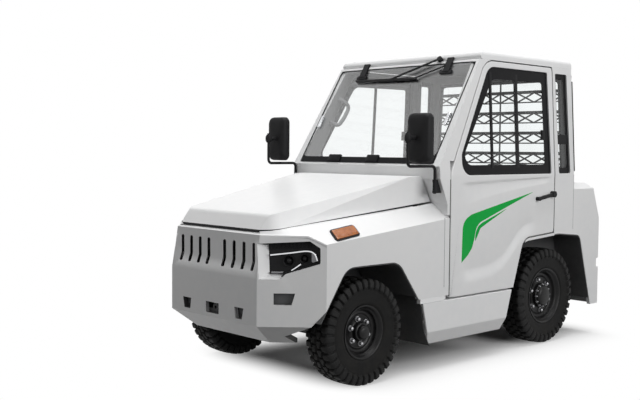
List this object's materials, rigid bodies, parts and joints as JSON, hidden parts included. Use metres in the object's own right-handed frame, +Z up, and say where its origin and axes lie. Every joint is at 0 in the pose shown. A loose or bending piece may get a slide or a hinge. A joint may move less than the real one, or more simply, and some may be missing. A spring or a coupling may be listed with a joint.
{
  "type": "electric tow tractor",
  "caption": "White electric tow tractor with a closed hinged-door cab, lifting hood, steered front wheels, guarded rear window and a stepped rear tow hitch.",
  "frame": {"origin": "on the floor, under the middle of the overall box", "axes": "+X forward, +Y to the driver's left, +Z up"},
  "size_m": [3.485, 1.61, 2.195],
  "materials": {
    "white_paint": "gloss white paint",
    "chassis_paint": "black chassis paint",
    "battery_case": "dark grey powder coat",
    "lamp_black": "black lamp housing with bright trim",
    "amber_lens": "ribbed amber lens",
    "red_lens": "ribbed red lens",
    "liner_plastic": "grained dark grey plastic",
    "clear_glass": "lightly tinted glass",
    "guard_black": "satin black powder coat",
    "cab_plastic": "grained black cab plastic",
    "seat_cloth": "black woven seat cloth",
    "tyre_rubber": "black rubber",
    "rim_black": "satin black wheel paint"
  },
  "bodies": {
    "chassis": {"chassis_frame": "chassis_paint", "front_axle": "chassis_paint", "rear_axle": "chassis_paint", "battery_pack": "battery_case", "front_fascia": "white_paint", "headlights": "lamp_black", "marker_lamps": "amber_lens", "left_fender": "white_paint", "right_fender": "white_paint", "wheel_liners": "liner_plastic", "side_sills": "white_paint", "cab_front": "white_paint", "windscreen": "clear_glass", "roof": "white_paint", "quarter_panels": "white_paint", "cab_rear_wall": "white_paint", "cab_rear_windows": "clear_glass", "window_guard": "guard_black", "rear_body": "white_paint", "tail_lamps": "red_lens", "tow_hitch": "chassis_paint", "cab_floor": "cab_plastic", "dashboard": "cab_plastic", "seat_base": "cab_plastic", "seat_cushion": "seat_cloth", "seat_back": "seat_cloth", "mirrors": "guard_black", "wiper": "guard_black"},
    "hood": {"hood": "white_paint"},
    "left_door": {"left_door": "white_paint", "left_door_glass": "clear_glass", "left_door_handle": "cab_plastic"},
    "right_door": {"right_door": "white_paint", "right_door_glass": "clear_glass", "right_door_handle": "cab_plastic"},
    "left_knuckle": {"left_knuckle": "chassis_paint"},
    "right_knuckle": {"right_knuckle": "chassis_paint"},
    "tie_rod": {"tie_rod": "chassis_paint"},
    "steering_wheel": {"steering_wheel": "cab_plastic"},
    "front_left_wheel": {"front_left_tyre": "tyre_rubber", "front_left_rim": "rim_black"},
    "front_right_wheel": {"front_right_tyre": "tyre_rubber", "front_right_rim": "rim_black"},
    "rear_left_wheel": {"rear_left_tyre": "tyre_rubber", "rear_left_rim": "rim_black"},
    "rear_right_wheel": {"rear_right_tyre": "tyre_rubber", "rear_right_rim": "rim_black"}
  },
  "joints": [
    {"name": "left_steer", "type": "hinge", "parent": "chassis", "child": "left_knuckle", "pos_m": [1.0825, 0.53, 0.31], "axis": [0, 0, 1], "range_deg": [-35, 35]},
    {"name": "right_steer", "type": "hinge", "parent": "chassis", "child": "right_knuckle", "pos_m": [1.0825, -0.53, 0.31], "axis": [0, 0, 1], "range_deg": [-36, 36]},
    {"name": "tie_rod_swing", "type": "hinge", "parent": "left_knuckle", "child": "tie_rod", "pos_m": [0.9875, 0.53, 0.28], "axis": [0, 0, 1], "range_deg": [-36, 36]},
    {"name": "steering_wheel_turn", "type": "hinge", "parent": "chassis", "child": "steering_wheel", "pos_m": [0.01593, 0.26, 1.29618], "axis": [-0.5299, 0, 0.848], "range_deg": [-360, 360]},
    {"name": "front_left_spin", "type": "hinge", "parent": "left_knuckle", "child": "front_left_wheel", "pos_m": [1.0825, 0.612, 0.34], "axis": [0, 1, 0], "continuous": true},
    {"name": "front_right_spin", "type": "hinge", "parent": "right_knuckle", "child": "front_right_wheel", "pos_m": [1.0825, -0.612, 0.34], "axis": [0, 1, 0], "continuous": true},
    {"name": "rear_left_spin", "type": "hinge", "parent": "chassis", "child": "rear_left_wheel", "pos_m": [-0.9275, 0.6, 0.367], "axis": [0, 1, 0], "continuous": true},
    {"name": "rear_right_spin", "type": "hinge", "parent": "chassis", "child": "rear_right_wheel", "pos_m": [-0.9275, -0.6, 0.367], "axis": [0, 1, 0], "continuous": true},
    {"name": "hood_open", "type": "hinge", "parent": "chassis", "child": "hood", "pos_m": [0.4395, 0, 1.281], "axis": [0, -1, 0], "range_deg": [0, 50]},
    {"name": "left_door_open", "type": "hinge", "parent": "chassis", "child": "left_door", "pos_m": [0.2775, 0.7195, 0.77], "axis": [0, 0, -1], "range_deg": [0, 70]},
    {"name": "right_door_open", "type": "hinge", "parent": "chassis", "child": "right_door", "pos_m": [0.2775, -0.7195, 0.77], "axis": [0, 0, 1], "range_deg": [0, 70]}
  ],
  "couplings": [
    {"joint": "right_steer", "follows": "left_steer", "ratio": 1},
    {"joint": "tie_rod_swing", "follows": "left_steer", "ratio": -1},
    {"joint": "steering_wheel_turn", "follows": "left_steer", "ratio": 10}
  ]
}
